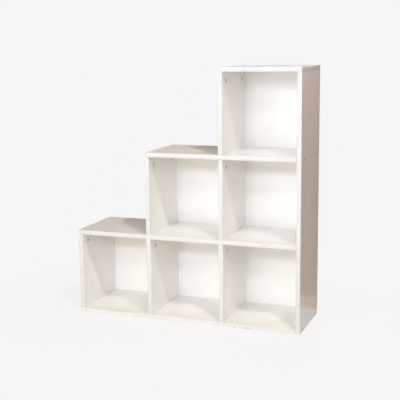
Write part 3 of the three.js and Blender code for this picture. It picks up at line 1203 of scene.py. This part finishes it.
def add_camera():
    data = bpy.data.cameras.new("camera")
    data.sensor_width = SENSOR_WIDTH
    data.lens = LENS
    camera = bpy.data.objects.new("camera", data)
    bpy.context.scene.collection.objects.link(camera)
    turn = (
        Matrix.Rotation(CAMERA_YAW, 4, "Z")
        @ Matrix.Rotation(math.pi / 2 - CAMERA_PITCH, 4, "X")
        @ Matrix.Rotation(CAMERA_ROLL, 4, "Z")
    )
    camera.matrix_world = Matrix.Translation(CAMERA_AT) @ turn
    bpy.context.scene.camera = camera


def seen_directly(tree):
    """1 for the camera, and for what reflections and glass show of the surroundings."""
    path = new_node(tree, "ShaderNodeLightPath").outputs
    seen = math_node(tree, "MAXIMUM", path["Is Camera Ray"], path["Is Glossy Ray"])
    return math_node(tree, "MAXIMUM", seen, path["Is Transmission Ray"])


def add_floor():
    """A pale warm floor, on which the camera sees the backdrop's white and the shelf's shadow."""
    bpy.ops.mesh.primitive_plane_add(size=FLOOR_SIZE)
    floor = rename(bpy.context.object, "floor")
    paint = Finish("floor_paint")
    tree = paint.tree
    tone = paint.shared("mottle", Scale=2.0, Contrast=0.8)
    paint.set(Base_Color=blended(tree, tone, FLOOR_DARK, FLOOR_PALE), Roughness=0.6)
    shadow = paint.shared("floor_shadow", Share=SHADOW_SHARE, Reach=SHADOW_REACH)
    # the white is a little stronger near the shelf, where some of the lit floor's tone is mixed in
    near = math_node(tree, "DIVIDE", shadow, SHADOW_SHARE)
    glow = new_node(tree, "ShaderNodeEmission")
    feed(tree, glow, Color=blended(tree, near, BACKDROP, WHITE), Strength=1.0)
    white_share = math_node(tree, "SUBTRACT", 1.0, shadow)
    mixed = new_node(tree, "ShaderNodeMixShader")
    shown = (
        math_node(tree, "MULTIPLY", seen_directly(tree), white_share),
        paint.shader.outputs[0],
        glow.outputs[0],
    )
    for place, value in enumerate(shown):
        plug(tree, value, mixed.inputs[place])
    tree.links.new(mixed.outputs[0], tree.nodes["Material Output"].inputs["Surface"])
    floor.data.materials.append(paint.material)


def add_card():
    """A warm card behind the shelf, which only reflections show, as they would a room's wall. Its tones
    are painted light and shade, so the shelf shows a painted reflection of it.
    """
    bpy.ops.mesh.primitive_plane_add(size=1, rotation=(math.pi / 2, 0, 0))
    card = rename(bpy.context.object, "card")
    card.scale = (CARD_WIDTH, CARD_HEIGHT, 1)
    card.location = (0, CARD_AT, CARD_HEIGHT / 2)
    apply_place(card)
    paint = Finish("card_painted_reflection")
    tree = paint.tree
    across, _, up = parts_of(tree, paint.place)
    # painted shadow low on the card's right part, painted light higher up and on its left, and a pale foot
    colour = blended(tree, between(tree, up, *CARD_SHADE), CARD_SHADOW_LOW, CARD_LIT_HIGH)
    colour = blended(tree, between(tree, across, 0.0, cad_high.x), CARD_LIT_LEFT, colour)
    foot = between(tree, up, CARD_FOOT, CARD_FOOT + MM, 1.0, 0.0)
    colour = blended(tree, foot, colour, CARD_FOOT_PAINTED_REFLECTION)
    paint.set(Base_Color=colour, Roughness=0.8)
    card.data.materials.append(paint.material)
    card.visible_camera = False
    card.visible_diffuse = False
    card.visible_transmission = False
    card.visible_shadow = False


def add_lamp(name, at, aim, size, power, colour):
    data = bpy.data.lights.new(name, "AREA")
    data.shape = "RECTANGLE"
    data.size, data.size_y = size
    data.energy = power
    data.color = colour
    lamp = bpy.data.objects.new(name, data)
    bpy.context.scene.collection.objects.link(lamp)
    lamp.matrix_world = aimed(at, Vector(at) - Vector(aim))


def add_light():
    """Five soft lamps in front, near and far, a strip for the shelf's foot, one overhead, one behind."""
    facing = (
        # name, lower left corner of the lamp, width and height, power, colour
        ("near_lamp", (-0.6, -2.6, 1.3), (1.6, 0.2), 14.5, (0.39, 0.65, 1.0)),
        ("main_lamp", (-1.2, -5.2, 2.1), (3.2, 0.4), 62.0, (1.0, 0.96, 0.90)),
        ("left_lamp", (-4.8, -5.2, 1.9), (3.2, 2.4), 140.0, (1.0, 0.91, 0.74)),
        ("high_lamp", (0.8, -10.4, 6.5), (8.0, 1.6), 365.0, (1.0, 0.94, 0.92)),
        ("low_lamp", (-1.0, -5.2, 0.1), (2.4, 0.8), 28.0, (1.0, 0.92, 0.82)),
        ("foot_lamp", (-0.8, -1.8, 0.05), (1.8, 0.2), 4.0, (1.0, 0.90, 0.80)),
    )
    for name, corner, size, power, colour in facing:
        width, height = size
        middle = Vector(corner) + Vector((width / 2, 0, height / 2))
        add_lamp(name, middle, middle + Vector((0, 1, 0)), size, power, colour)
    add_lamp("overhead_lamp", (2.9, -3.0, 5.5), (0.1, 0, 0.5), (0.5, 0.5), 157.0, (1.0, 0.93, 0.88))
    add_lamp("rear_lamp", (-0.6, 5.2, 0.5), (-0.6, 0, 0.5), (1.6, 0.8), 90.0, (1.0, 0.97, 0.93))


def add_backdrop():
    """An even white backdrop for the camera, reflections and glass. It sheds no light on the shelf."""
    world = bpy.data.worlds.new("studio")
    world.use_nodes = True
    tree = world.node_tree
    feed(tree, tree.nodes["Background"], Color=BACKDROP, Strength=seen_directly(tree))
    bpy.context.scene.world = world


bpy.context.scene.view_settings.view_transform = "Standard"
deselect()
add_camera()
add_floor()
add_card()
add_light()
add_backdrop()
add_boards()
add_backs()
add_fasteners()

deselect()
